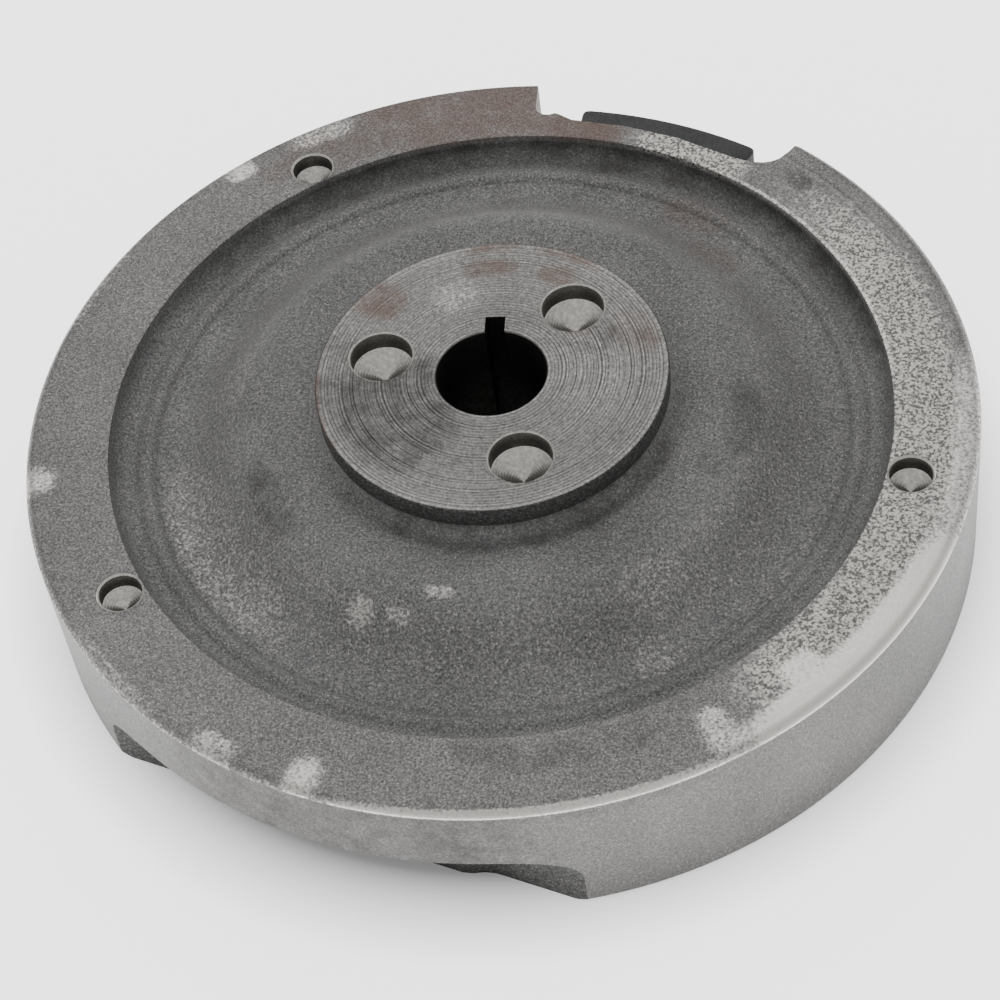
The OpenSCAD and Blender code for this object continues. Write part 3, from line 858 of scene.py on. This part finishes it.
# radii at which the screw and its cutter start, and the radii of the hole and the counterbore
SCREW_FOOT_R, CUT_FOOT_R, SHANK_HOLE_R, COUNTERBORE_R = 93, 100, 2.7, 4.6

def sector_outline(inner_r, outer_r, start_deg, end_deg, step_deg=0.8):
    """A bent block in plan, anticlockwise, with its angles measured from +X."""
    count = max(2, round((end_deg - start_deg) / step_deg))
    turns = [start_deg + (end_deg - start_deg) * i / count for i in range(count + 1)]
    return [polar(outer_r, a) for a in turns] + [polar(inner_r, a) for a in reversed(turns)]

def rounded(outline, corner_mm, sharp_deg=40, steps=4):
    """Rounds each corner of an outline that turns by more than sharp_deg."""
    made = []
    for before, here, after in zip(outline[-1:] + outline[:-1], outline, outline[1:] + outline[:1]):
        come, go = Vector(here) - Vector(before), Vector(after) - Vector(here)
        if math.degrees(come.angle(go)) < sharp_deg:
            made.append(here)
            continue
        size = min(corner_mm, come.length * 0.45, go.length * 0.45)
        start, end = Vector(here) - come.normalized() * size, Vector(here) + go.normalized() * size
        for i in range(steps + 1):
            t = i / steps
            made.append(tuple(start * (1 - t) ** 2 + Vector(here) * 2 * t * (1 - t) + end * t ** 2))
    return made

def soften(made, edge_mm, segments=3, sharp_deg=60):
    """Bevels the hard edges of a block in place."""
    bevel = made.modifiers.new("edge", "BEVEL")
    bevel.width, bevel.segments, bevel.limit_method = edge_mm * MM, segments, "ANGLE"
    bevel.angle_limit = math.radians(sharp_deg)
    return bake_modifiers(made)

def rim_matrix(degrees, z, radius):
    """Stands a tool that points along its own +Z on the rim, pointing outwards from the axis."""
    turn = Matrix.Rotation(math.radians(degrees), 4, "Z") @ Matrix.Rotation(math.radians(90), 4, "Y")
    return Matrix.Translation(Vector((*polar(radius, degrees), z)) * MM) @ turn

def cut_out(made, cutters):
    for cutter in cutters:
        modifier = made.modifiers.new(cutter.name, "BOOLEAN")
        modifier.operation, modifier.solver, modifier.object = "DIFFERENCE", "EXACT", cutter
    bake_modifiers(made)
    for cutter in cutters:
        bpy.data.objects.remove(cutter)
    return made

def rod_section(name, steps):
    return section_object(name, [("outer_wall", 0, steps)])

def turned_on_rim(name, steps, degrees, start_r, sides=40):
    """A turned shape, given as (radius, distance along its axis), set into the rim."""
    made = turned_solid(name, rod_section(name + "_section", steps), sides)
    made.data.transform(rim_matrix(degrees, PACK_Z, start_r))
    return made

inner, outer = SEAT_R + 0.1, HOLDER_R
start, end = PACK_ANGLE - HOLDER_HALF, PACK_ANGLE + HOLDER_HALF
holder = prism("magnet_holder_moulding", rounded(sector_outline(inner, outer, start, end, 2.5), 2.0),
               HOLDER_Z0, HOLDER_Z1)
soften(outward(holder), 0.5)
cutters = []
for side, name in ((1, "leading"), (-1, "trailing")):
    middle = PACK_ANGLE + side * (SHOE_IN + SHOE_OUT) / 2
    half = (SHOE_OUT - SHOE_IN) / 2
    pocket = sector_outline(SHOE_BED_R, 120, middle - half, middle + half)
    cutters.append(outward(prism("shoe_pocket_" + name, pocket, PACK_Z - SHOE_H / 2, PACK_Z + SHOE_H / 2)))
    axis = PACK_ANGLE + side * SCREW_OFF
    bed = BED_R - CUT_FOOT_R
    steps = [(0, -2), (SHANK_HOLE_R, -2), (SHANK_HOLE_R, bed), (COUNTERBORE_R, bed), (COUNTERBORE_R, 13.9),
             (COUNTERBORE_R + 0.5, 14.4), (COUNTERBORE_R + 0.5, 20), (0, 20)]
    cutters.append(turned_on_rim("screw_cut_" + name, steps, axis, CUT_FOOT_R))
# the magnet's pocket runs a degree into the shoes' pockets, so that no skin is left between them
pocket = sector_outline(MAGNET_IN_R, MAGNET_OUT_R, PACK_ANGLE - MAGNET_HALF - 1,
                        PACK_ANGLE + MAGNET_HALF + 1)
cutters.append(outward(prism("magnet_pocket", pocket, PACK_Z - MAGNET_H / 2, PACK_Z + MAGNET_H / 2)))
cut_out(holder, cutters)
smooth_with_sharp_edges(holder)
print("holder:", len(holder.data.polygons), "faces")

# %% [markdown]
# ## Pole shoes
#
# Each pole shoe is a stack of thin steel sheets. One sheet is drawn once, and a Geometry Nodes tree
# repeats it up the stack. The number of sheets, their pitch and the height of the first one are its
# inputs. Real sheets are about 0.5 mm thick, and so are these.

# %% Pole shoes
def stack_tree(material):
    tree, asked = geometry_tree("sheet_stack", [("Sheet", "Object"), ("Sheets", "Int"), ("Pitch", "Float"),
                                                ("Base height", "Float")])
    first = add_node(tree, "ShaderNodeCombineXYZ", {"Z": asked["Base height"]}).outputs[0]
    step = add_node(tree, "ShaderNodeCombineXYZ", {"Z": asked["Pitch"]}).outputs[0]
    row = add_node(tree, "GeometryNodeMeshLine", {"Count": asked["Sheets"], "Start Location": first,
                                                  "Offset": step}).outputs[0]
    sheet = shape_of(tree, asked["Sheet"])
    stack = add_node(tree, "GeometryNodeInstanceOnPoints", {"Points": row, "Instance": sheet}).outputs[0]
    stack = add_node(tree, "GeometryNodeRealizeInstances", {"Geometry": stack}).outputs[0]
    stack = add_node(tree, "GeometryNodeSetMaterial", {"Geometry": stack, "Material": material}).outputs[0]
    add_node(tree, "NodeGroupOutput", {0: stack})
    return tree

SHEET_T, SHEET_GAP = 0.5, 0.05
stack = stack_tree(laminations)
shoes = {}
for side, name in ((1, "leading"), (-1, "trailing")):
    middle, half = PACK_ANGLE + side * (SHOE_IN + SHOE_OUT) / 2, (SHOE_OUT - SHOE_IN) / 2 - 0.03
    plan = sector_outline(SHOE_BED_R + 0.05, SHOE_FACE_R, middle - half, middle + half, 0.65)
    sheet = outward(prism("pole_sheet_" + name, plan, SHEET_GAP / 2, SHEET_T - SHEET_GAP / 2))
    shoes[name] = new_object("pole_shoe_stack_" + name, bpy.data.meshes.new("pole_shoe_stack"))
    use_tree(shoes[name], stack, {"Sheet": sheet, "Sheets": round(SHOE_H / SHEET_T), "Pitch": SHEET_T * MM,
                                  "Base height": (PACK_Z - SHOE_H / 2) * MM})
    bake_modifiers(shoes[name])
    bpy.data.objects.remove(sheet)
    print(shoes[name].name, len(shoes[name].data.polygons), "faces")

# %% [markdown]
# ## Magnet, screws and washers
#
# The magnet is a plain pressed block between the stacks. The screws are turned by the lathe tree,
# with a knurl and a hexagon socket. A spring washer is a square wire, bent once round and cut.

# %% Magnet
half = MAGNET_HALF - 0.05
block = sector_outline(MAGNET_IN_R + 0.05, MAGNET_OUT_R - 0.1, PACK_ANGLE - half, PACK_ANGLE + half, 0.7)
magnet = prism("ignition_magnet_block", block, PACK_Z - MAGNET_H / 2 + 0.05, PACK_Z + MAGNET_H / 2 - 0.05)
soften(outward(magnet), 0.3, 2)
smooth_with_sharp_edges(magnet, 50)

# %% Screws and washers
def holder_screw(name, degrees):
    head_foot = BED_R + WASHER_T - SCREW_FOOT_R
    top = head_foot + HEAD_H
    steps = [(0, 0), (1.9, 0), (SHANK_R, 0.6), (SHANK_R, 4), (SHANK_R, 10), (SHANK_R, head_foot - 0.2),
             (SHANK_R + 0.2, head_foot), (HEAD_R - 0.25, head_foot), (HEAD_R, head_foot + 0.3),
             (HEAD_R, top - 0.6), (HEAD_R - 0.12, top - 0.22), (HEAD_R - 0.5, top), (2.9, top),
             (2.4, top - 0.1), (0, top - 0.1)]
    sides = 72
    made = turned_solid(name, rod_section(name + "_section", steps), sides)
    for vertex in made.data.vertices:
        across = math.hypot(vertex.co.x, vertex.co.y) / MM
        column = round(math.degrees(math.atan2(vertex.co.y, vertex.co.x)) * sides / 360)
        if across > HEAD_R - 0.01 and column % 2:
            vertex.co.x *= 0.975
            vertex.co.y *= 0.975
    hexagon = [polar(2.3, 60 * i) for i in range(6)]
    cut_out(made, [outward(prism("hex_socket", hexagon, top - 2.2, top + 1))])
    made.data.transform(rim_matrix(degrees, PACK_Z, SCREW_FOOT_R))
    return smooth_with_sharp_edges(made, 30)

def spring_washer(name, degrees):
    inner_r, outer_r, gap, sides = SHANK_R + 0.15, 4.2, 0.8, 48
    half_gap = math.degrees(gap / 2 / ((inner_r + outer_r) / 2))
    points, faces = [], []
    for i in range(sides + 1):
        degree = 90 + half_gap + (360 - 2 * half_gap) * i / sides
        for r, z in ((inner_r, 0.12), (inner_r + 0.12, 0), (outer_r - 0.12, 0), (outer_r, 0.12),
                     (outer_r, WASHER_T - 0.12), (outer_r - 0.12, WASHER_T), (inner_r + 0.12, WASHER_T),
                     (inner_r, WASHER_T - 0.12)):
            points.append((*(c * MM for c in polar(r, degree)), z * MM))
    for i in range(sides):
        faces += [(8 * i + k, 8 * i + (k + 1) % 8, 8 * i + 8 + (k + 1) % 8,
                   8 * i + 8 + k) for k in range(8)]
    faces += [tuple(range(8)), tuple(reversed(range(8 * sides, 8 * sides + 8)))]
    mesh = bpy.data.meshes.new(name)
    mesh.from_pydata(points, [], faces)
    made = outward(new_object(name, mesh))
    made.data.transform(rim_matrix(degrees, PACK_Z, BED_R))
    return smooth_with_sharp_edges(made, 30)

screws, washers = {}, {}
for side, name in ((1, "leading"), (-1, "trailing")):
    axis = PACK_ANGLE + side * SCREW_OFF
    screws[name] = holder_screw("socket_screw_" + name, axis)
    washers[name] = spring_washer("spring_washer_" + name, axis)
print("screw:", len(screws["leading"].data.polygons), "faces, washer:",
      len(washers["leading"].data.polygons), "faces")

# %% [markdown]
# ## Joining the frame
#
# Every piece hides the CAD part that it stands for and rides on a body. The flywheel has no
# joints, so that body is always the root. Construction pieces are removed.

# %% Frame
def take_place(made, node, material=None):
    if material:
        made.data.materials.clear()
        made.data.materials.append(material)
    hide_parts(node)
    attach(made, "root")

for helper in [o for o in bpy.data.objects if o.name.endswith(("_section", "_drill", "_cutter",
                                                               "_places"))]:
    bpy.data.objects.remove(helper)
take_place(casting, "flywheel_casting")
take_place(holder, "magnet_holder", moulding)
take_place(magnet, "ignition_magnet", ferrite)
for name in ("leading", "trailing"):
    take_place(shoes[name], "pole_shoe_" + name)
    take_place(screws[name], "holder_screw_" + name, zinc)
    take_place(washers[name], "lock_washer_" + name, zinc)

# %% [markdown]
# ## Floor and light
#
# Small castings are shot on a lit white table under a broad overhead softbox, so that the metal
# mirrors something bright and even. A second, smaller softbox behind the part puts the sheen on
# the hub and the far rim. The table glows around the part, which lifts the rim's outside, but not
# under it. The glow fades out from 15 mm beyond the rim to 10 mm inside it, which paints a soft
# contact shadow round the part.

# %% Floor and light
def studio():
    half = 3.0
    mesh = bpy.data.meshes.new("table_top")
    mesh.from_pydata([(-half, -half, 0), (half, -half, 0), (half, half, 0), (-half, half, 0)], [],
                     [(0, 1, 2, 3)])
    floor = new_object("table_top", mesh)
    paint = bpy.data.materials.new("white_light_table")
    paint.use_nodes = True
    skin = paint.node_tree.nodes["Principled BSDF"]
    skin.inputs["Base Color"].default_value = hex_linear("#f2f2f1")
    skin.inputs["Roughness"].default_value = 0.9
    skin.inputs["Emission Color"].default_value = hex_linear("#ffffff")
    # the table glows only outside the rim, so that no light comes up through the part; the ring where the
    # glow fades is a painted contact shadow
    tree = paint.node_tree
    place = add_node(tree, "ShaderNodeTexCoord").outputs["Object"]
    from_axis = add_node(tree, "ShaderNodeVectorMath", {0: place}, operation="LENGTH").outputs["Value"]
    glow = spread(tree, from_axis, (RIM_R - 10) * MM, (RIM_R + 15) * MM, to_high=TABLE_GLOW)
    tree.links.new(glow, skin.inputs["Emission Strength"])
    mesh.materials.append(paint)
    world = bpy.data.worlds.new("studio_air")
    bpy.context.scene.world = world
    world.use_nodes = True
    world.node_tree.nodes["Background"].inputs["Color"].default_value = hex_linear("#fbfbfc")
    world.node_tree.nodes["Background"].inputs["Strength"].default_value = AIR_LIGHT
    for name, place, target, size, watts in SOFTBOXES:
        lamp = bpy.data.lights.new(name, "AREA")
        lamp.shape, lamp.size, lamp.size_y, lamp.energy = "RECTANGLE", size[0], size[1], watts
        box = bpy.data.objects.new(name, lamp)
        box.location = place
        box.rotation_euler = (Vector(target) - Vector(place)).to_track_quat("-Z", "Y").to_euler()
        bpy.context.scene.collection.objects.link(box)

TABLE_GLOW, AIR_LIGHT = 2.2, 0.8
SOFTBOXES = [
    ("overhead_softbox", (0.0, 0.25, 1.1), (0, 0.1, 0), (2.0, 2.0), 2.6),
    ("back_softbox", (-0.13, 0.76, 0.92), (0, 0, 0), (0.6, 0.5), 2.0),
]
studio()
